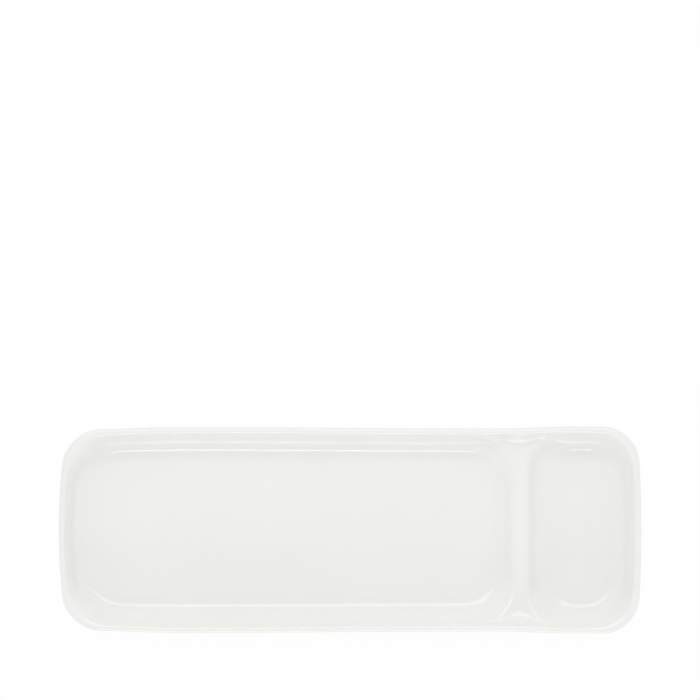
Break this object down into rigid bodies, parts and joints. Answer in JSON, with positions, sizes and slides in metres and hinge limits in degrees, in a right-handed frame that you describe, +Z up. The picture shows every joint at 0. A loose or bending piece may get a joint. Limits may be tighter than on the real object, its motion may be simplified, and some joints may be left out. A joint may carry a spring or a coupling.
{
  "type": "olive dish",
  "caption": "Long shallow dish of white glazed porcelain with rounded corners; a low ridge near the end divides the olive tray from a small well for the pits.",
  "frame": {"origin": "middle of the dish's length and width, on the table plane under the foot ring", "axes": "+X along the dish from the olive tray to the pit well, +Y across it, +Z up"},
  "size_m": [0.3, 0.1066, 0.022],
  "materials": {
    "bare_porcelain": "matte",
    "white_glaze": "gloss"
  },
  "bodies": {
    "root": {"porcelain_body": "bare_porcelain", "glaze_coat": "white_glaze"}
  },
  "joints": []
}
